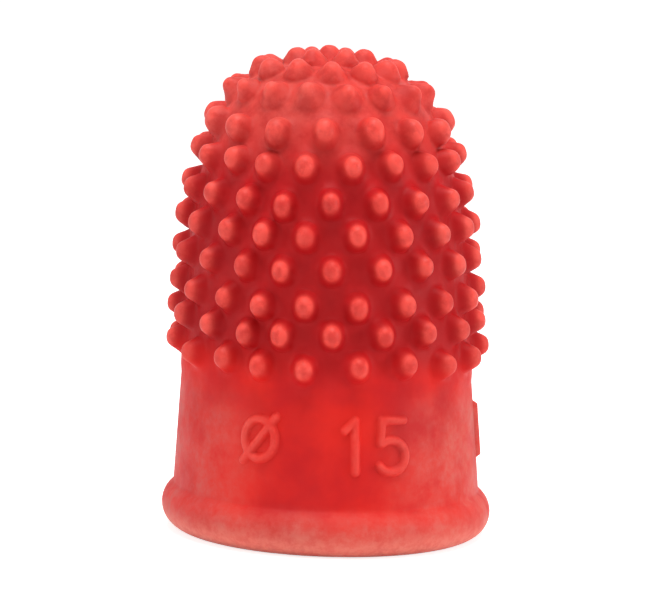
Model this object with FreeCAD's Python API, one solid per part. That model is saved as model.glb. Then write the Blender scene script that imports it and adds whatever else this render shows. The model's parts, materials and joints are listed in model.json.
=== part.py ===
import FreeCAD, Part
import math
import os
from FreeCAD import Vector

# Rubber finger tip: a thin moulded cap for one finger, open at the foot. A round bead runs
# round the mouth, a plain band stands above it, and staggered rings of blunt studs cover
# the rest up to one stud on the crown.
# Millimetres, +Z up. The origin is the centre of the mouth, in the plane that it stands on,
# and -Y is the front.

# The wall
overall_height = 29.4  # from the foot to the end of the stud on the crown
wall = 1.1             # thickness of the rubber above the bore
taper = 4.0            # degrees by which the straight wall leans in

# The bore that grips the finger
bore_r = 7.7
bore_top = 9.7         # height where the bore gives way to the tapering inside
mouth_chamfer = 0.4

# The bead round the mouth
bead_r = 1.5           # radius of its round section
bead_sink = 0.98       # from the wall's outer face at the foot in to the bead's centre

# The dome: three arcs that run into each other, from the straight wall up to the crown
dome_height = 10.4     # from the end of the straight wall to the crown, studs apart
flank_r = 18.5
shoulder_r = 4.0
crown_r = 11.0

# The studs: blunt cones with many flats, one on the crown and the rest in rings round it
stud_height = 1.1
stud_foot_r = 0.88
stud_tip_r = 0.52
stud_flats = 12
ring_pitch = 2.0       # along the surface, from one ring to the next
plain_band = 10.3      # height below which no stud stands
crown_counts = (6, 12, 15, 15)  # studs in the rings next to the crown, from the top
full_count = 18        # studs in every ring below those

# What follows from these
lean = math.radians(taper)
stud_root = 0.4 * wall  # how deep a stud's sides run on into the wall
crown_z = overall_height - stud_height
straight_top = crown_z - dome_height
foot_r = bore_r + wall / math.cos(lean) + bore_top * math.tan(lean)
axis = Vector(0, 0, 1)


def profile_point(r, z):
    return Vector(r, 0, z)


def on_circle(centre, radius, angle):
    return centre + radius * profile_point(math.cos(angle), math.sin(angle))


def outer_point(z):
    """A point of the straight wall's outer face."""
    return profile_point(foot_r - z * math.tan(lean), z)


def upper_crossing(centre_a, radius_a, centre_b, radius_b):
    """The higher of the two points where two circles of the profile cross."""
    between = centre_b - centre_a
    distance = between.Length
    along = between / distance
    across = profile_point(-along.z, along.x)
    reach = (radius_a**2 - radius_b**2 + distance**2) / (2 * distance)
    height = math.sqrt(radius_a**2 - reach**2)
    ends = [centre_a + reach * along + side * height * across for side in (-1, 1)]
    return max(ends, key=lambda point: point.z)


def angle_of(point, centre):
    return math.atan2(point.z - centre.z, point.x - centre.x)


flank_centre = on_circle(outer_point(straight_top), -flank_r, lean)
crown_centre = profile_point(0, crown_z - crown_r)
shoulder_centre = upper_crossing(
    flank_centre, flank_r - shoulder_r, crown_centre, crown_r - shoulder_r
)
shoulder_start = angle_of(shoulder_centre, flank_centre)
shoulder_end = angle_of(shoulder_centre, crown_centre)

# Each arc of the dome as (centre, radius, start angle, end angle), from the wall up
dome_arcs = [
    (flank_centre, flank_r, lean, shoulder_start),
    (shoulder_centre, shoulder_r, shoulder_start, shoulder_end),
    (crown_centre, crown_r, shoulder_end, math.pi / 2),
]


def arc_edge(centre, radius, start, end):
    points = [on_circle(centre, radius, angle) for angle in (start, (start + end) / 2, end)]
    return Part.Arc(*points).toShape()


def line_edges(*points):
    return [Part.LineSegment(a, b).toShape() for a, b in zip(points, points[1:])]


def dome_edges(inset):
    """The dome's profile, moved in by inset along its normals."""
    return [arc_edge(centre, radius - inset, start, end) for centre, radius, start, end in dome_arcs]


def bead_edge():
    """The bead's round side, from the foot out and up to where it meets the straight wall."""
    centre = profile_point(foot_r - bead_sink, bead_r)
    outward = profile_point(math.cos(lean), math.sin(lean))
    depth = (outer_point(0) - centre).dot(outward)
    return arc_edge(centre, bead_r, -math.pi / 2, lean + math.acos(depth / bead_r))


def cap_body():
    """The bare cap without studs, turned in one piece round its axis."""
    bead = bead_edge()
    foot = bead.valueAt(bead.FirstParameter)
    wall_foot = bead.valueAt(bead.LastParameter)
    outside = line_edges(wall_foot, on_circle(flank_centre, flank_r, lean)) + dome_edges(0)
    closing = line_edges(profile_point(0, crown_z), profile_point(0, crown_z - wall))
    inside = dome_edges(wall) + line_edges(
        on_circle(flank_centre, flank_r - wall, lean),
        profile_point(bore_r, bore_top),
        profile_point(bore_r, mouth_chamfer),
        profile_point(bore_r + mouth_chamfer, 0),
        foot,
    )
    outline = Part.Wire(Part.__sortEdges__([bead] + outside + closing + inside))
    return Part.Face(outline).revolve(Vector(0, 0, 0), axis, 360)


def flat_ring(radius, z):
    """The corners of a regular polygon in a level plane."""
    turns = [2 * math.pi * (side + 0.5) / stud_flats for side in range(stud_flats)]
    return [Vector(radius * math.cos(turn), radius * math.sin(turn), z) for turn in turns]


def polygon_face(corners):
    return Part.Face(Part.makePolygon(corners + corners[:1]))


def stud():
    """One stud standing on the origin, its sides run on down into the wall."""
    slope = (stud_foot_r - stud_tip_r) / stud_height
    low = flat_ring(stud_foot_r + slope * stud_root, -stud_root)
    high = flat_ring(stud_tip_r, stud_height)
    sides = [
        polygon_face([low[i - 1], low[i], high[i], high[i - 1]]) for i in range(stud_flats)
    ]
    return Part.Solid(Part.Shell([polygon_face(low[::-1]), polygon_face(high)] + sides))


def station(distance):
    """The point of the outer face at this distance down from the crown, and its slope."""
    for centre, radius, start, end in reversed(dome_arcs):
        length = radius * (end - start)
        if distance <= length:
            angle = end - distance / radius
            return on_circle(centre, radius, angle), angle
        distance -= length
    return outer_point(straight_top - distance * math.cos(lean)), lean


def stud_rings():
    """Each ring of studs from the top as (point, slope, count), down to the plain band."""
    rings = []
    while True:
        point, slope = station(ring_pitch * (len(rings) + 1))
        if point.z < plain_band:
            return rings
        near_crown = len(rings) < len(crown_counts)
        rings.append((point, slope, crown_counts[len(rings)] if near_crown else full_count))


def all_studs():
    """The crown's stud and every ring. Every other ring is turned by half a step."""
    pattern = stud()
    studs = [pattern.translated(Vector(0, 0, crown_z))]
    for number, (point, slope, count) in enumerate(stud_rings()):
        step = 360 / count
        half_turn = step / 2 if number % 2 == 0 else 0
        stands_out = FreeCAD.Rotation(axis, profile_point(math.cos(slope), math.sin(slope)))
        for place in range(count):
            turn = FreeCAD.Rotation(axis, place * step + half_turn - 90)
            ringed = pattern.copy()
            ringed.Placement = FreeCAD.Placement(turn.multVec(point), turn.multiply(stands_out))
            studs.append(ringed)
    return studs


def finger_tip():
    return cap_body().multiFuse(all_studs())


os.makedirs("parts", exist_ok=True)
finger_tip().exportStep("parts/finger_tip.step")
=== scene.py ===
import json
import math
import random

import bpy
import numpy as np
from mathutils import Matrix, Vector, noise
from mathutils.geometry import delaunay_2d_cdt


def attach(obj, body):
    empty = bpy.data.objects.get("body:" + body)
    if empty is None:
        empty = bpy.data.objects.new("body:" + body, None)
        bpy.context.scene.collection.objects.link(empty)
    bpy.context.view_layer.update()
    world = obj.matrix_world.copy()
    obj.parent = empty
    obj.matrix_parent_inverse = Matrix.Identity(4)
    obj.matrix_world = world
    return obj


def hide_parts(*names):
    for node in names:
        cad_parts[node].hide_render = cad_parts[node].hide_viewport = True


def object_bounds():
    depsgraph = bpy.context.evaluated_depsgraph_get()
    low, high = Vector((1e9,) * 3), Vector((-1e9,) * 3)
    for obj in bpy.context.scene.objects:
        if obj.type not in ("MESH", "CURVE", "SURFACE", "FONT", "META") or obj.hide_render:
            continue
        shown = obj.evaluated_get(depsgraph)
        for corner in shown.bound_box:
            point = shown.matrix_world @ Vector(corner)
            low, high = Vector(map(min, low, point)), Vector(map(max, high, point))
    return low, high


# A red rubber finger tip that stands on its mouth. The cap is one closed mesh: every stud is
# a round knob with a soft foot, the rubber between the studs is stitched to their feet, and
# the band, the bead, the mouth and the inside are turned round the axis.
# Sizes are in millimetres until a mesh is made. -Y is the front.

MM = 0.001

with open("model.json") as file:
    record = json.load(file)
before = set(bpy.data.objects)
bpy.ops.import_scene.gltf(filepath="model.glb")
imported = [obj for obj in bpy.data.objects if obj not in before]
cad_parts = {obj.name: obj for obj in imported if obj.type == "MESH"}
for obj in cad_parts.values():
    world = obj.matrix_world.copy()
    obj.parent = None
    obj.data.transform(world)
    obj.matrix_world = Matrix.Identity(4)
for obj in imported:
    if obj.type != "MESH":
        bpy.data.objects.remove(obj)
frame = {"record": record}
cad_low, cad_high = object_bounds()
mounts = {mount["name"]: mount for mount in frame["record"]["mounts"]}

# Sizes that the frame gives
OVERALL_HEIGHT = cad_high.z / MM
BEAD_OUTER_R = cad_high.x / MM
BORE_R = mounts["finger_bore"]["dims"]["r_mm"]
FOOT_FLAT_R = mounts["base"]["pos_m"][0] / MM

# Sizes of the wall, as the solid has them
WALL = 1.1
TAPER = math.radians(4.0)
BORE_TOP = 9.7
BEAD_R = 1.5
DOME_HEIGHT = 10.4
FLANK_R = 18.5
SHOULDER_R = 4.0
CROWN_R = 11.0

# Studs
STUD_HEIGHT = 1.1
RING_PITCH = 2.0
CROWN_COUNTS = (6, 12, 15, 15)
FULL_COUNT = 18
RING_TOTAL = 11
STUD_FOOT_R = 1.0       # where the soft foot runs out into the rubber, where there is room
FOOT_SHARE = 0.485      # the most that a foot takes of the way to the next stud
NECK_SHARE = 0.94       # the most that the rest of a stud takes of its foot
STUD_OVAL = 0.10        # how much taller than wide a stud is, either way of round
# A stud's outline from its middle out to its foot, as (radius, share of the height, wear with a
# painted highlight)
STUD_OUTLINE = [
    (0.15, 0.99, 0.84),
    (0.27, 0.96, 0.92),
    (0.37, 0.905, 0.98),
    (0.46, 0.82, 0.96),
    (0.54, 0.70, 0.74),
    (0.61, 0.56, 0.30),
    (0.685, 0.41, 0.07),
    (0.77, 0.255, 0.0),
    (0.87, 0.11, 0.0),
    (STUD_FOOT_R, 0.0, 0.0),
]
STUD_SEGMENTS = 28
# How far single studs differ: ranges of height and breadth as shares and of wear with painted
# highlight, and spreads of the place down the wall in mm, of the end's lean and of the oval
STUD_HEIGHTS = (0.95, 1.0)
STUD_BREADTHS = (0.97, 1.03)
STUD_WEARS_AND_HIGHLIGHTS = (0.66, 1.05)
STUD_SHIFT = 0.06
STUD_LEAN = 0.025
OVAL_SPREAD = 0.03
SOFT_FOOT = 0.4         # height over which a stud's side leaves the round wall for its own axis
FULL_BREADTH = 0.5      # share of the height from which a stud has its own breadth

# The net of triangles between the studs
NET_SPACING = 0.5
NET_CLEARANCE = 0.17    # between the net's points and a stud's foot
NO_STUD = -1            # the owner of a point that belongs to no stud's foot

# Details of the band
LEDGE = 0.08            # how far the studded rubber stands proud of the band
LEDGE_Z = 9.85
LEDGE_SOFTNESS = 0.18
STITCH_Z = 9.45         # where the stitched rubber hands over to the turned band
AROUND = 180            # segments round the axis
BEAD_CORNER_R = 0.3     # radius of the soft corner between band and bead
MARK_PROUD = 0.28
MARK_SUNK = 0.03        # how far under the rubber's face a mark is cut off
MARK_STROKE = 0.19      # half the width of a stroke
STROKE_SIDE = (0.45, 1.9)  # where a stroke's side falls away, in half widths from its middle
MARK_GRID = 0.08

# Wear and painted light: how pale the rubber is made, from 0 to 1. On the studs' ends it is wear with
# a painted highlight, low on the bead's outer side wear with painted light from the floor
# The bead's outer side is paler low down: wear, with painted light bounced from the floor
BEAD_WEAR_AND_BOUNCE = 0.20
BEAD_WEAR_AND_BOUNCE_Z = (3.2, 2.4)
BEAD_WEAR_AND_BOUNCE_INSET = (0.3, 0.1)  # from the wall's foot and from the bead's outer side
MARK_WEAR = 0.52
CROWN_STUD_WEAR_AND_HIGHLIGHT = 0.8   # what the studs on the crown have of the other studs' wear and painted highlight
CROWN_PALING = 0.48       # on top of that, paler all over the crown, towards the top
CROWN_PALING_Z = (21.5, 26.5)
PAINTED_SHADE_Z = (10.2, 12.6)  # where the painted shade over the studded zone sets in

# The piece isn't quite true: it leans, its crown bulges and its rubber is a little uneven
LEAN = -0.0265          # mm sideways per mm of height
CROWN_BULGE = 0.17
SHOULDER_BULGE = 0.10   # sideways, around SHOULDER_Z
SHOULDER_Z = 25.4
SHOULDER_SPREAD = 2.6
SHOULDER_LIFT = 0.10    # upwards, around LIFT_Z
LIFT_Z = 27.3
LIFT_SPREAD = 1.8
BULGE_FULL_R = 6.0      # from here in to the axis the sideways bulge fades out
LOW_RINGS = 3           # rings on the crown whose studs are lower and more pointed
LOW_STUDS = 0.84
POINTED_STUDS = (1.14, -0.30)  # their breadth at the foot, and what they lose up to the end
RING_BREADTH = {2: 0.84, 3: 1.12}  # rings from the top whose studs are slimmer or broader
# The studs crowd towards the front. Below the crown they sit lower left of the front and
# higher at the sides. Against the place round the piece in degrees: drift in degrees and
# sag in mm
PLACES = (-180, -100, -85, -68, -55, -42, -30, -18, -9, 0, 20, 38, 64, 85, 100, 180)
CROWDING = (0, 6, 6.3, 6.7, 7, 5.8, 2.4, 0.3, -0.5, 0, -0.3, -1.9, -2.4, -2.3, -2.2, 0)
SAGGING = (0, -0.4, -0.3, 0, 0, 0.10, 0.20, 0.18, 0.15, 0.04, 0.01, -0.03, 0, -0.3, -0.4, 0)
# For each ring from the top: how much of that drift it has on the left, how far the whole
# ring is turned, in degrees, and how far all of it sags, in mm
RING_CROWDING = (0, 0.3, 0.3, 0, 0.7, 0.75, 0.95, 0.93, 1.0, 1.25, 1.1)
RING_TURN = (0, 0, -2.5, -3.5, -1.5, -0.7, -0.3, -0.3, 0, 0, 0)
RING_SAG = (0.0, 0.0, -0.04, 0.16, 0.07, 0.22, 0.02, 0.0, 0.06, -0.22, -0.30)
UNEVEN = 0.035          # how far the rubber's waves reach, in mm
UNEVEN_Z = (0.0, 3.0)   # they set in above the foot, which stands flat
SLOW_WAVE = 7.0
QUICK_WAVE = 2.6
QUICK_SHARE = 0.4

# Blender's noise starts from the clock unless it is seeded, as random does
random.seed(11)
noise.seed_set(11)


# The outer face's profile, as (r, z) pairs in complex numbers

def polar(angle):
    return complex(math.cos(angle), math.sin(angle))


CROWN_Z = OVERALL_HEIGHT - STUD_HEIGHT
STRAIGHT_TOP = CROWN_Z - DOME_HEIGHT
FOOT_R = BORE_R + WALL / math.cos(TAPER) + BORE_TOP * math.tan(TAPER)


def straight_wall(z):
    return complex(FOOT_R - z * math.tan(TAPER), z)


def upper_crossing(centre_a, radius_a, centre_b, radius_b):
    """The higher of the two points where two circles cross."""
    between = centre_b - centre_a
    reach = (radius_a**2 - radius_b**2 + abs(between) ** 2) / (2 * abs(between))
    across = 1j * between / abs(between) * math.sqrt(radius_a**2 - reach**2)
    middle = centre_a + between / abs(between) * reach
    return max(middle + across, middle - across, key=lambda point: point.imag)


FLANK_CENTRE = straight_wall(STRAIGHT_TOP) - FLANK_R * polar(TAPER)
CROWN_CENTRE = complex(0, CROWN_Z - CROWN_R)
SHOULDER_CENTRE = upper_crossing(
    FLANK_CENTRE, FLANK_R - SHOULDER_R, CROWN_CENTRE, CROWN_R - SHOULDER_R
)


def slope_between(centre, point):
    return math.atan2((point - centre).imag, (point - centre).real)


SHOULDER_START = slope_between(FLANK_CENTRE, SHOULDER_CENTRE)
SHOULDER_END = slope_between(CROWN_CENTRE, SHOULDER_CENTRE)

# Each arc as (centre, radius, lower slope, upper slope), from the crown down
DOME_ARCS = [
    (CROWN_CENTRE, CROWN_R, SHOULDER_END, math.pi / 2),
    (SHOULDER_CENTRE, SHOULDER_R, SHOULDER_START, SHOULDER_END),
    (FLANK_CENTRE, FLANK_R, TAPER, SHOULDER_START),
]
DOME_LENGTH = sum(radius * (upper - lower) for _, radius, lower, upper in DOME_ARCS)


def station(down):
    """The profile point this far down from the crown, along the outer face, and its slope."""
    for centre, radius, lower, upper in DOME_ARCS:
        length = radius * (upper - lower)
        if down <= length:
            slope = upper - down / radius
            return centre + radius * polar(slope), slope
        down -= length
    return straight_wall(STRAIGHT_TOP - down * math.cos(TAPER)), TAPER


def down_to(point):
    """How far down from the crown a profile point near the outer face lies."""
    down = 0.0
    for centre, radius, lower, upper in DOME_ARCS:
        slope = slope_between(centre, point)
        if slope >= lower:
            return down + radius * (upper - min(slope, upper))
        down += radius * (upper - lower)
    below = straight_wall(STRAIGHT_TOP) - point
    return down + below.imag * math.cos(TAPER) - below.real * math.sin(TAPER)


def smooth_step(low, high, value):
    """Rises from 0 to 1 between low and high, and falls where high is the smaller."""
    share = min(max((value - low) / (high - low), 0.0), 1.0)
    return share * share * (3 - 2 * share)


def ledge(z):
    """The studded rubber's extra thickness at this height."""
    return LEDGE * smooth_step(LEDGE_Z - LEDGE_SOFTNESS, LEDGE_Z + LEDGE_SOFTNESS, z)


def face_point(turn, down, height=0.0):
    """A point of the outer face, or this height above it, and the face's normal there."""
    point, slope = station(down)
    point += (height + ledge(point.imag)) * polar(slope)
    normal = polar(slope)
    out = Vector((math.cos(turn), math.sin(turn), 0))
    up = Vector((0, 0, 1))
    return point.real * out + point.imag * up, normal.real * out + normal.imag * up


class Mesh:
    """Vertices in millimetres, with how pale each is made by wear and painted light, how much painted
    shade of the studs each has, and faces.
    """

    def __init__(self):
        self.points = []
        self.wear_and_painted_light = []
        self.painted_shade = []
        self.faces = []

    def add(self, point, wear_and_painted_light=0.0, painted_shade=0.0):
        self.points.append(Vector(point))
        self.wear_and_painted_light.append(wear_and_painted_light)
        self.painted_shade.append(painted_shade)
        return len(self.points) - 1

    def strip(self, inner, outer):
        """Quads between two closed rings that run counterclockwise seen from outside."""
        for j in range(len(inner)):
            k = (j + 1) % len(inner)
            self.faces.append((inner[j], outer[j], outer[k], inner[k]))

    def fan(self, centre, ring):
        for j in range(len(ring)):
            self.faces.append((centre, ring[j], ring[(j + 1) % len(ring)]))


# Studs

def stud_places():
    """Every stud as (turn, distance down from the crown)."""
    places = [(0.0, 0.0)]
    for ring in range(RING_TOTAL):
        count = CROWN_COUNTS[ring] if ring < len(CROWN_COUNTS) else FULL_COUNT
        half = 0.5 if ring % 2 == 0 else 0.0
        for place in range(count):
            degrees = (360 * (place + half) / count + 180) % 360 - 180
            drift = float(np.interp(degrees, PLACES, CROWDING))
            if degrees < 0:
                drift *= RING_CROWDING[ring]
            turn = degrees + drift + RING_TURN[ring]
            sag = RING_SAG[ring]
            if ring >= LOW_RINGS:
                sag += float(np.interp(degrees, PLACES, SAGGING))
            down = (ring + 1) * RING_PITCH + sag + random.gauss(0, STUD_SHIFT)
            places.append((math.radians(turn - 90), down))
    return places


def settle(point):
    """The turn and the distance down of the outer face's point next to this one."""
    turn = math.atan2(point.y, point.x)
    return turn, down_to(complex(math.hypot(point.x, point.y), point.z))


def foot_radii(centres):
    """How far each stud's foot may spread without meeting its neighbours'."""
    gaps = np.linalg.norm(centres[:, None] - centres[None], axis=2)
    np.fill_diagonal(gaps, np.inf)
    return np.minimum(STUD_FOOT_R, FOOT_SHARE * gaps.min(axis=1)).tolist()


def add_stud(mesh, turn, down, foot_r):
    """Adds one knob and returns its foot ring's vertices with their (turn, down) places."""
    ring_number = round(down / RING_PITCH) - 1
    on_crown = ring_number < LOW_RINGS
    height = STUD_HEIGHT * random.uniform(*STUD_HEIGHTS) * (LOW_STUDS if on_crown else 1.0)
    breadth = random.uniform(*STUD_BREADTHS) * RING_BREADTH.get(ring_number, 1.0)
    base, normal = face_point(turn, down)
    sideways = Vector((-math.sin(turn), math.cos(turn), 0))
    upward = normal.cross(sideways)
    leaning = normal + random.gauss(0, STUD_LEAN) * sideways + random.gauss(0, STUD_LEAN) * upward
    oval = -STUD_OVAL + random.uniform(-OVAL_SPREAD, OVAL_SPREAD)
    # The stud's wear, which also carries the painted highlight on its end
    stud_wear_and_highlight = random.uniform(*STUD_WEARS_AND_HIGHLIGHTS) * (CROWN_STUD_WEAR_AND_HIGHLIGHT if on_crown else 1.0)
    rings = []
    foot_places = []
    for radius, share, wear_and_painted_light in STUD_OUTLINE:
        ring = []
        above = share * height
        is_foot = share == 0
        widened = 1 + (breadth - 1) * smooth_step(0.0, FULL_BREADTH, share)
        if on_crown:
            widened *= POINTED_STUDS[0] + POINTED_STUDS[1] * share
        for segment in range(STUD_SEGMENTS):
            angle = 2 * math.pi * segment / STUD_SEGMENTS
            reach = foot_r
            if not is_foot:
                reach = min(radius * widened * (1 + oval * math.cos(2 * angle)), NECK_SHARE * foot_r)
            flat = base + reach * (math.cos(angle) * sideways + math.sin(angle) * upward)
            place = settle(flat)
            on_face, _ = face_point(*place, above)
            free = smooth_step(0.0, SOFT_FOOT, above)
            point = on_face.lerp(flat + above * leaning, free)
            # Each point above the band also gets painted shade over the studded zone, set by its
            # height
            ring.append(mesh.add(point, stud_wear_and_highlight * wear_and_painted_light, smooth_step(*PAINTED_SHADE_Z, point.z)))
            if is_foot:
                foot_places.append(place)
        rings.append(ring)
    middle = mesh.add(base + height * leaning, stud_wear_and_highlight * STUD_OUTLINE[0][2], 1.0)
    mesh.fan(middle, rings[0])
    for inner, outer in zip(rings, rings[1:]):
        mesh.strip(inner, outer)
    return rings[-1], foot_places


# The rubber between the studs

def spread_table():
    """Distances down and the matching radii of a flat map of the rubber that keeps its angles."""
    nearly_top = 0.02
    past_edge = down_to(straight_wall(STITCH_Z)) + 0.5
    downs = np.linspace(nearly_top, past_edge, 1200)
    radii = np.array([station(down)[0].real for down in downs])
    steps = np.diff(downs) * 2 / (radii[1:] + radii[:-1])
    return downs, downs[0] * np.exp(np.concatenate([[0.0], np.cumsum(steps)]))


def rubber_grid(centres, feet_r, lowest):
    """Places on the rubber that lie clear of every stud's foot, row by row."""
    places = []
    rows = int(lowest / NET_SPACING)
    for row in range(1, rows):
        down = row * lowest / rows
        around = max(6, round(2 * math.pi * station(down)[0].real / NET_SPACING))
        for place in range(around):
            turn = 2 * math.pi * (place + 0.5 * (row % 2)) / around
            point = np.array(face_point(turn, down)[0])
            if np.min(np.linalg.norm(centres - point, axis=1) - feet_r) > NET_CLEARANCE:
                places.append((turn, down))
    return places


def stitch_rubber(mesh, centres, feet_r, feet, edge_ring, lowest):
    """Fills the rubber between the studs' feet and the ring at the top of the band."""
    table_down, table_spread = spread_table()
    indices = []
    places = []
    owners = []
    for owner, (ring, ring_places) in enumerate(feet):
        indices += ring
        places += ring_places
        owners += [owner] * len(ring)
    for turn, down in rubber_grid(centres, feet_r, lowest):
        point = face_point(turn, down)[0]
        # Painted shade over the studded zone, set by height
        indices.append(mesh.add(point, 0.0, smooth_step(*PAINTED_SHADE_Z, point.z)))
        places.append((turn, down))
        owners.append(NO_STUD)
    for number, index in enumerate(edge_ring):
        indices.append(index)
        places.append((2 * math.pi * number / AROUND, lowest))
        owners.append(NO_STUD)
    turns, downs = np.array(places).T
    spreads = np.interp(downs, table_down, table_spread)
    flat = [Vector((x, y)) for x, y in zip(spreads * np.cos(turns), spreads * np.sin(turns))]
    foot_edges = [
        (owner * STUD_SEGMENTS + j, owner * STUD_SEGMENTS + (j + 1) % STUD_SEGMENTS)
        for owner in range(len(feet))
        for j in range(STUD_SEGMENTS)
    ]
    all_triangles = 0
    closeness = 1e-7
    _, _, triangles, sources, _, _ = delaunay_2d_cdt(flat, foot_edges, [], all_triangles, closeness)
    for triangle in triangles:
        corners = [sources[corner][0] for corner in triangle]
        owner = owners[corners[0]]
        inside_stud = owner != NO_STUD and all(owners[corner] == owner for corner in corners)
        if not inside_stud:
            mesh.faces.append(tuple(indices[corner] for corner in corners))


# The turned part: band, bead, mouth and inside

def arc_points(centre, radius, start, end, count):
    angles = [start + (end - start) * step / count for step in range(count + 1)]
    return [centre + radius * polar(angle) for angle in angles]


def band_profile():
    """From the foot of the studded rubber down to the bead, with a soft corner between them."""
    bead_centre = complex(BEAD_OUTER_R - BEAD_R, BEAD_R)
    wall_line = straight_wall(0) + BEAD_CORNER_R * polar(TAPER)
    depth = ((bead_centre - wall_line) * polar(-TAPER)).real
    along = math.sqrt((BEAD_R + BEAD_CORNER_R) ** 2 - depth**2)
    corner_centre = bead_centre + (-depth + 1j * along) * polar(TAPER)
    corner_top = corner_centre - BEAD_CORNER_R * polar(TAPER)
    levels = 34
    drop = (corner_top.imag - STITCH_Z) / levels
    band = [straight_wall(STITCH_Z + drop * step) for step in range(levels)]
    to_bead = slope_between(corner_centre, bead_centre) % (2 * math.pi)
    soft_corner = arc_points(corner_centre, BEAD_CORNER_R, TAPER + math.pi, to_bead, 4)
    bead = arc_points(bead_centre, BEAD_R, to_bead - math.pi, -math.pi / 2, 22)
    return band + soft_corner + bead[1:]


def inside_profile():
    """From the foot's flat in and up the bore to the crown's underside."""
    flat_half = BEAD_OUTER_R - BEAD_R - FOOT_FLAT_R
    lip = FOOT_FLAT_R - flat_half - BORE_R
    mouth = arc_points(complex(BORE_R + lip, lip), lip, -math.pi / 2, -math.pi, 5)
    levels = 8
    bore = [complex(BORE_R, lip + (BORE_TOP - lip) * step / levels) for step in range(1, levels + 1)]
    cone_height = STRAIGHT_TOP - BORE_TOP
    cone = [
        straight_wall(BORE_TOP + cone_height * step / levels) - WALL * polar(TAPER)
        for step in range(2, levels + 1)
    ]
    dome_levels = 40
    downs = [DOME_LENGTH * (1 - step / dome_levels) for step in range(1, dome_levels)]
    dome = [point - WALL * polar(slope) for point, slope in map(station, downs)]
    return mouth + bore + cone + dome


def turned_ring(mesh, point):
    """One level of the turned part. The bead's outer side is a little paler low down: wear, with
    painted light bounced from the floor.
    """
    from_foot, from_side = BEAD_WEAR_AND_BOUNCE_INSET
    outside = smooth_step(FOOT_R - from_foot, BEAD_OUTER_R - from_side, point.real)
    wear_and_painted_light = BEAD_WEAR_AND_BOUNCE * outside * smooth_step(*BEAD_WEAR_AND_BOUNCE_Z, point.imag)
    turns = [2 * math.pi * number / AROUND for number in range(AROUND)]
    return [
        mesh.add((point.real * math.cos(turn), point.real * math.sin(turn), point.imag), wear_and_painted_light)
        for turn in turns
    ]


def add_turned_part(mesh):
    """Adds everything below and inside, and returns the ring that the rubber is stitched to."""
    rings = [turned_ring(mesh, point) for point in band_profile() + inside_profile()]
    for upper, lower in zip(rings, rings[1:]):
        mesh.strip(upper, lower)
    underside = mesh.add((0, 0, CROWN_Z - WALL))
    mesh.fan(underside, rings[-1][::-1])
    return rings[0]


# Raised marks on the band: plain generic ones, a crossed ring and a number for the size

def arc_path(centre, size, start, end, count):
    """Points along part of an ellipse, between two places given in degrees."""
    places = [math.radians(start + (end - start) * step / count) for step in range(count + 1)]
    return [
        (centre[0] + size[0] * math.cos(place), centre[1] + size[1] * math.sin(place))
        for place in places
    ]


MARKS = {
    # name: (degrees from the front, middle z, height, strokes as paths in a box from -1 to 1)
    "crossed_ring": (
        -27.5, 6.8, 2.7,
        [arc_path((0, 0), (0.72, 0.86), 0, 360, 28), [(-0.76, -1.0), (0.76, 1.0)]],
    ),
    "one": (8.5, 6.6, 3.0, [[(-0.34, 0.62), (0.06, 1.0), (0.06, -1.0)]]),
    "five": (
        23.5, 6.6, 3.0,
        [
            [(0.5, 1.0), (-0.42, 1.0), (-0.5, 0.12)],
            arc_path((-0.06, -0.38), (0.62, 0.62), 128, -142, 18),
        ],
    ),
    "bar": (86.0, 6.4, 3.3, [[(0.0, -0.8), (0.0, 0.95)]]),
}


def stroke_distance(points, paths):
    """Each point's distance to the nearest stroke."""
    nearest = np.full(len(points), 1e9)
    for path in paths:
        for start, end in zip(path, path[1:]):
            start, along = np.array(start), np.subtract(end, start)
            share = np.clip((points - start) @ along / (along @ along), 0, 1)
            away = np.linalg.norm(points - start - share[:, None] * along, axis=1)
            nearest = np.minimum(nearest, away)
    return nearest


def mark_mesh(degrees, middle_z, height, strokes):
    """A raised mark that follows the band, cut off just under the rubber's face."""
    mesh = Mesh()
    half = height / 2
    paths = [[(half * u, half * v) for u, v in path] for path in strokes]
    margin = 2.2 * MARK_STROKE
    reach_u = max(abs(u) for path in paths for u, _ in path) + margin
    reach_v = half + margin
    columns = round(2 * reach_u / MARK_GRID) + 1
    rows = round(2 * reach_v / MARK_GRID) + 1
    across = np.linspace(-reach_u, reach_u, columns)
    grid = np.array([(u, v) for v in np.linspace(-reach_v, reach_v, rows) for u in across])
    distance = stroke_distance(grid, paths)
    centre_down = down_to(straight_wall(middle_z))
    radius = station(centre_down)[0].real
    front = math.radians(degrees) - math.pi / 2
    side_top, side_foot = (MARK_STROKE * edge for edge in STROKE_SIDE)
    for (u, v), away in zip(grid, distance):
        rise = (MARK_PROUD + MARK_SUNK) * smooth_step(side_foot, side_top, away) - MARK_SUNK
        point, _ = face_point(front + u / radius, centre_down - v, rise)
        mesh.add(point, MARK_WEAR * max(rise, 0) / MARK_PROUD)
    buried = distance > side_foot
    for row in range(rows - 1):
        for column in range(columns - 1):
            corner = row * columns + column
            quad = (corner, corner + 1, corner + columns + 1, corner + columns)
            if not all(buried[index] for index in quad):
                mesh.faces.append(quad)
    return mesh


# From millimetres to an object

def untrue(point):
    """Moves a point as the real piece stands: it leans a little, and its rubber is uneven."""
    slow = noise.noise_vector(point / SLOW_WAVE)
    wave = slow + QUICK_SHARE * noise.noise_vector(point / QUICK_WAVE)
    free = smooth_step(*UNEVEN_Z, point.z)
    moved = point + UNEVEN * wave * free
    sideways = Vector((point.x, point.y, 0))
    bulge = SHOULDER_BULGE * math.exp(-(((point.z - SHOULDER_Z) / SHOULDER_SPREAD) ** 2))
    moved += bulge * sideways / max(sideways.length, BULGE_FULL_R)
    moved.x += LEAN * point.z
    moved.z += CROWN_BULGE * smooth_step(STRAIGHT_TOP, OVERALL_HEIGHT, point.z)
    moved.z += SHOULDER_LIFT * math.exp(-(((point.z - LIFT_Z) / LIFT_SPREAD) ** 2))
    return moved


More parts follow.
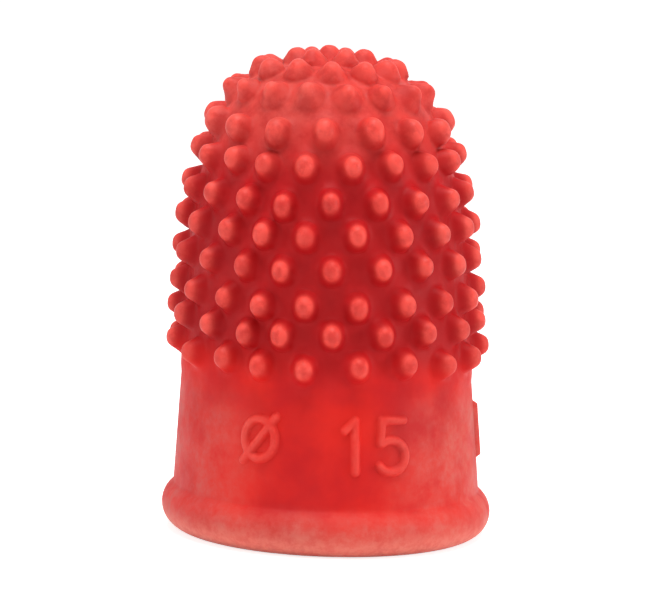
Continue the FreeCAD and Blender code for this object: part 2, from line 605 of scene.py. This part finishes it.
def build_object(name, mesh, material):
    data = bpy.data.meshes.new(name)
    data.from_pydata([untrue(point) * MM for point in mesh.points], [], mesh.faces)
    # Paler towards the top of the crown, added on to each point's wear and painted light
    crown = [CROWN_PALING * smooth_step(*CROWN_PALING_Z, point.z) for point in mesh.points]
    wear_and_painted_light = [share + (1 - share) * extra for share, extra in zip(mesh.wear_and_painted_light, crown)]
    for layer, values in (("wear_and_painted_light", wear_and_painted_light), ("painted_shade", mesh.painted_shade)):
        data.attributes.new(layer, "FLOAT", "POINT").data.foreach_set("value", values)
    data.shade_smooth()
    data.validate()
    data.update()
    piece = bpy.data.objects.new(name, data)
    bpy.context.scene.collection.objects.link(piece)
    data.materials.append(material)
    return piece


# Materials

def new_material(name):
    material = bpy.data.materials.new(name)
    material.use_nodes = True
    material.node_tree.nodes.clear()
    return material, material.node_tree


def add_node(tree, kind, **settings):
    node = tree.nodes.new(kind)
    for key, value in settings.items():
        setattr(node, key, value)
    return node


def noise_node(tree, coordinates, scale, detail=4.0, roughness=0.55):
    """Noise with this many waves in a metre."""
    node = add_node(tree, "ShaderNodeTexNoise")
    node.inputs["Scale"].default_value = scale
    node.inputs["Detail"].default_value = detail
    node.inputs["Roughness"].default_value = roughness
    tree.links.new(coordinates, node.inputs["Vector"])
    return node.outputs["Fac"]


def map_range(tree, value, from_low, from_high, to_low=0.0, to_high=1.0):
    node = add_node(tree, "ShaderNodeMapRange", interpolation_type="SMOOTHSTEP")
    limits = {"From Min": from_low, "From Max": from_high, "To Min": to_low, "To Max": to_high}
    for socket, number in limits.items():
        node.inputs[socket].default_value = number
    tree.links.new(value, node.inputs["Value"])
    return node.outputs["Result"]


def map_distance(tree, value, start, end, to_low=0.0, to_high=1.0):
    """As map_range, between two distances in millimetres."""
    return map_range(tree, value, start * MM, end * MM, to_low, to_high)


def mix_colour(tree, factor, first, second):
    node = add_node(tree, "ShaderNodeMix", data_type="RGBA")
    tree.links.new(factor, node.inputs["Factor"])
    for socket, colour in (("A", first), ("B", second)):
        target = next(i for i in node.inputs if i.name == socket and i.type == "RGBA")
        if isinstance(colour, tuple):
            target.default_value = (*colour, 1.0)
        else:
            tree.links.new(colour, target)
    return next(output for output in node.outputs if output.type == "RGBA")


def maths(tree, operation, first, second, clamp=True):
    node = add_node(tree, "ShaderNodeMath", operation=operation, use_clamp=clamp)
    for socket, value in zip(node.inputs, (first, second)):
        if isinstance(value, (int, float)):
            socket.default_value = value
        else:
            tree.links.new(value, socket)
    return node.outputs["Value"]


RUBBER_RED = (0.55, 0.008, 0.010)
LIVELY_RED = (0.75, 0.014, 0.008)
# Painted shade over the studded zone
PAINTED_SHADE_RED = (0.40, 0.005, 0.008)
# Worn rubber, and the painted highlight on the studs' ends
WORN_AND_LIT_RED = (0.88, 0.082, 0.062)
# Dusty bloom, and painted sheen on the band's sides
BLOOM_AND_SHEEN_PINK = (0.61, 0.195, 0.155)
# The bloom's colour in painted shade on the far left
PAINTED_SHADE_BLOOM_GREY = (0.46, 0.165, 0.145)
# Pale foot: dusty bloom with painted light bounced from the floor
FOOT_BOUNCE_AND_BLOOM_PINK = (0.89, 0.27, 0.20)
CLEAN_FRONT_X = -0.7    # the middle of the band's clean front, between its sides with dust and painted sheen


def rubber_red(tree, place, wear_and_painted_light, painted_shade):
    """The rubber's colour: cloudy, deeper with painted shade over the studded zone between the studs,
    and lighter where it is worn and where a highlight is painted on the studs' ends.
    """
    cloudy = noise_node(tree, place, 210.0)
    # Painted shade darkens the red over the studded zone
    shade_share = maths(tree, "MULTIPLY", painted_shade, map_range(tree, cloudy, 0.35, 0.68, 0.62, 1.0))
    even = mix_colour(tree, map_range(tree, cloudy, 0.3, 0.7), RUBBER_RED, LIVELY_RED)
    ground = mix_colour(tree, shade_share, even, PAINTED_SHADE_RED)
    rubbed = map_range(tree, noise_node(tree, place, 950.0, 4.0, 0.6), 0.34, 0.60, 0.6, 1.15)
    # Lighter where worn, and where a highlight is painted on the studs' ends
    return mix_colour(tree, maths(tree, "MULTIPLY", wear_and_painted_light, rubbed), ground, WORN_AND_LIT_RED)


def dust_and_painted_light_colour(tree, place, wear_and_painted_light, red):
    """The red with dust and painted sheen on the band's sides and on the raised places to the sides,
    dust on the crown, dust with painted light from the floor low on the bead and at the foot, and
    painted shade on the far left.
    """
    axes = add_node(tree, "ShaderNodeSeparateXYZ")
    tree.links.new(place, axes.inputs["Vector"])
    sideways = axes.outputs["X"]
    height = axes.outputs["Z"]
    from_front = maths(tree, "SUBTRACT", sideways, CLEAN_FRONT_X * MM, clamp=False)
    aside = maths(tree, "ABSOLUTE", from_front, 0.0)

    on_band = map_distance(tree, height, 10.4, 7.2)
    # Paler low on the bead: dust, with painted light bounced from the floor
    on_bead = map_distance(tree, height, 3.4, 1.6, 0.0, 0.58)
    # Paler towards the band's sides, away from its front: dust, with painted sheen
    on_flank = map_distance(tree, aside, 2.0, 8.5, 0.02, 0.56)
    band_dust_and_painted_light = maths(tree, "MULTIPLY", on_band, maths(tree, "MAXIMUM", on_flank, on_bead))
    # Raised places paler towards the sides: dust, with painted sheen
    side_dust_and_sheen = maths(tree, "MULTIPLY", wear_and_painted_light, map_distance(tree, aside, 3.0, 9.0, 0.05, 0.29))
    on_left = map_distance(tree, sideways, 3.0, -4.0, 0.06, 0.25)
    crown_dust = maths(tree, "MULTIPLY", map_distance(tree, height, 21.5, 25.0), on_left)
    raised_dust_and_sheen = maths(tree, "MAXIMUM", side_dust_and_sheen, crown_dust)

    patches = map_range(tree, noise_node(tree, place, 430.0, 5.0, 0.62), 0.32, 0.70, 0.28, 1.0)
    fine = map_range(tree, noise_node(tree, place, 1900.0, 3.0, 0.7), 0.32, 0.68, 0.6, 1.0)
    cover = maths(tree, "MULTIPLY", patches, fine)
    # Dust, with painted sheen on the sides and painted light from the floor on the bead
    bloom_and_painted_light = maths(tree, "MULTIPLY", cover, maths(tree, "MAXIMUM", band_dust_and_painted_light, raised_dust_and_sheen))
    # Darker, greyer bloom on the far left: painted shade
    painted_shade_left = map_distance(tree, sideways, -4.5, -9.5)
    dust_and_sheen_colour = mix_colour(tree, painted_shade_left, BLOOM_AND_SHEEN_PINK, PAINTED_SHADE_BLOOM_GREY)
    # Paler at the foot: dusty bloom, with painted light bounced from the floor
    at_foot = map_distance(tree, height, 2.0, 0.3, 0.0, 0.78)
    foot_bounce_and_bloom = maths(tree, "MULTIPLY", at_foot, fine)
    return mix_colour(tree, foot_bounce_and_bloom, mix_colour(tree, bloom_and_painted_light, red, dust_and_sheen_colour), FOOT_BOUNCE_AND_BLOOM_PINK)


def rubber_material():
    """Satin red rubber: worn lighter and smoother where it is raised, with painted highlights on the
    studs' ends and painted shade over the studded zone, painted sheen on the band's sides and painted
    light from the floor low down, and dusty in places.
    """
    material, tree = new_material("red_rubber")
    place = add_node(tree, "ShaderNodeTexCoord").outputs["Object"]
    wear_and_painted_light = add_node(tree, "ShaderNodeAttribute", attribute_name="wear_and_painted_light").outputs["Fac"]
    painted_shade = add_node(tree, "ShaderNodeAttribute", attribute_name="painted_shade").outputs["Fac"]
    red = rubber_red(tree, place, wear_and_painted_light, painted_shade)
    colour = dust_and_painted_light_colour(tree, place, wear_and_painted_light, red)

    shader = add_node(tree, "ShaderNodeBsdfPrincipled")
    tree.links.new(colour, shader.inputs["Base Color"])
    smudge = noise_node(tree, place, 620.0, 5.0, 0.65)
    matt = map_range(tree, smudge, 0.3, 0.7, 0.48, 0.64)
    polished = map_range(tree, wear_and_painted_light, 0.3, 1.0, 0.0, 0.14)
    tree.links.new(maths(tree, "SUBTRACT", matt, polished), shader.inputs["Roughness"])
    shader.inputs["Specular IOR Level"].default_value = 0.16
    shader.inputs["Subsurface Weight"].default_value = 0.12
    shader.inputs["Subsurface Radius"].default_value = (1.0, 0.12, 0.08)
    shader.inputs["Subsurface Scale"].default_value = 0.8 * MM

    grain = add_node(tree, "ShaderNodeBump")
    grain.inputs["Strength"].default_value = 0.25
    grain.inputs["Distance"].default_value = 0.05 * MM
    tree.links.new(noise_node(tree, place, 3200.0, 4.0, 0.6), grain.inputs["Height"])
    tree.links.new(grain.outputs["Normal"], shader.inputs["Normal"])
    output = add_node(tree, "ShaderNodeOutputMaterial")
    tree.links.new(shader.outputs["BSDF"], output.inputs["Surface"])
    return material


FLOOR_GREY = (0.86, 0.86, 0.86)
FLOOR_LIFT = 0.74       # brings the lit floor up to white for the camera, and leaves the shadow
FLOOR_REACH = 12.0      # metres either way, far enough to pass for a horizon
WORLD_LIGHT = 0.27      # the strength that lights the scene, while the camera sees white


def seen_directly(tree):
    """1 for rays from the camera and for those that gloss or glass sends on."""
    path = add_node(tree, "ShaderNodeLightPath")
    glossy = maths(tree, "ADD", path.outputs["Is Camera Ray"], path.outputs["Is Glossy Ray"])
    return maths(tree, "ADD", glossy, path.outputs["Is Transmission Ray"])


def floor_material():
    material, tree = new_material("pale_floor")
    shader = add_node(tree, "ShaderNodeBsdfPrincipled")
    shader.inputs["Base Color"].default_value = (*FLOOR_GREY, 1.0)
    shader.inputs["Roughness"].default_value = 0.9
    shader.inputs["Emission Color"].default_value = (1.0, 1.0, 1.0, 1.0)
    strength = maths(tree, "MULTIPLY", seen_directly(tree), FLOOR_LIFT)
    tree.links.new(strength, shader.inputs["Emission Strength"])
    output = add_node(tree, "ShaderNodeOutputMaterial")
    tree.links.new(shader.outputs["BSDF"], output.inputs["Surface"])
    return material


# The setting

def add_floor():
    data = bpy.data.meshes.new("floor")
    ways = [(-1, -1), (1, -1), (1, 1), (-1, 1)]
    corners = [(FLOOR_REACH * x, FLOOR_REACH * y, 0) for x, y in ways]
    data.from_pydata(corners, [], [(0, 1, 2, 3)])
    floor = bpy.data.objects.new("floor", data)
    bpy.context.scene.collection.objects.link(floor)
    data.materials.append(floor_material())


def add_world():
    world = bpy.data.worlds.new("studio")
    bpy.context.scene.world = world
    world.use_nodes = True
    tree = world.node_tree
    tree.nodes.clear()
    background = add_node(tree, "ShaderNodeBackground")
    background.inputs["Color"].default_value = (1.0, 1.0, 1.0, 1.0)
    white = maths(tree, "MULTIPLY", seen_directly(tree), 1.0 - WORLD_LIGHT)
    tree.links.new(maths(tree, "ADD", white, WORLD_LIGHT), background.inputs["Strength"])
    output = add_node(tree, "ShaderNodeOutputWorld")
    tree.links.new(background.outputs["Background"], output.inputs["Surface"])


def add_lamp(name, place, size, energy):
    """A square soft lamp, placed in millimetres, that faces the middle of the cap."""
    data = bpy.data.lights.new(name, "AREA")
    data.size = size * MM
    data.energy = energy
    lamp = bpy.data.objects.new(name, data)
    lamp.location = Vector(place) * MM
    towards = Vector((0, 0, OVERALL_HEIGHT / 2 * MM)) - lamp.location
    lamp.rotation_euler = towards.to_track_quat("-Z", "Y").to_euler()
    bpy.context.scene.collection.objects.link(lamp)


def add_lamps():
    add_lamp("left_soft_box", (-260, -60, 70), 80, 0.15)
    add_lamp("right_soft_box", (260, -60, 70), 80, 0.24)
    add_lamp("top_soft_box", (0, -60, 300), 200, 0.80)
    add_lamp("low_front_soft_box", (0, -320, 8), 200, 0.18)


# The camera, found by setting the studs, bead and crown against the photograph
FRAME_WIDTH = 660             # the photograph's, in pixels
CAMERA_AZIMUTH = math.radians(-2.14)
CAMERA_ELEVATION = math.radians(7.0)
CAMERA_DISTANCE = 200.0
CAMERA_AIM = (-0.22, 14.38)   # sideways and up
CAMERA_ROLL = math.radians(2.0)
CAMERA_FOCUS = 3300.0         # focal length in the photograph's pixels


def add_camera():
    turn, rise = CAMERA_AZIMUTH, CAMERA_ELEVATION
    back = Vector((math.sin(turn) * math.cos(rise), -math.cos(turn) * math.cos(rise), math.sin(rise)))
    right = Vector((math.cos(turn), math.sin(turn), 0))
    up = back.cross(right)
    rolled_right = math.cos(CAMERA_ROLL) * right + math.sin(CAMERA_ROLL) * up
    rolled_up = back.cross(rolled_right)
    aim = CAMERA_AIM[0] * right + Vector((0, 0, CAMERA_AIM[1]))
    data = bpy.data.cameras.new("camera")
    data.sensor_width = 36.0
    data.lens = data.sensor_width * CAMERA_FOCUS / FRAME_WIDTH
    data.clip_start = 0.005
    camera = bpy.data.objects.new("camera", data)
    turned = Matrix((rolled_right, rolled_up, back)).transposed().to_4x4()
    camera.matrix_world = Matrix.Translation((aim + CAMERA_DISTANCE * back) * MM) @ turned
    bpy.context.scene.collection.objects.link(camera)
    bpy.context.scene.camera = camera


def add_cap(material):
    mesh = Mesh()
    edge_ring = add_turned_part(mesh)
    places = stud_places()
    centres = np.array([face_point(turn, down)[0] for turn, down in places])
    feet_r = foot_radii(centres)
    feet = [add_stud(mesh, turn, down, foot_r) for (turn, down), foot_r in zip(places, feet_r)]
    stitch_rubber(mesh, centres, feet_r, feet, edge_ring, down_to(straight_wall(STITCH_Z)))
    cap = build_object("finger_tip_cap", mesh, material)
    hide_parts("finger_tip")
    return cap


rubber = rubber_material()
pieces = [add_cap(rubber)]
for mark_name, mark_form in MARKS.items():
    pieces.append(build_object("mark_" + mark_name, mark_mesh(*mark_form), rubber))
for piece in pieces:
    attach(piece, "root")

add_floor()
add_world()
add_lamps()
add_camera()
bpy.context.scene.view_settings.view_transform = "Standard"
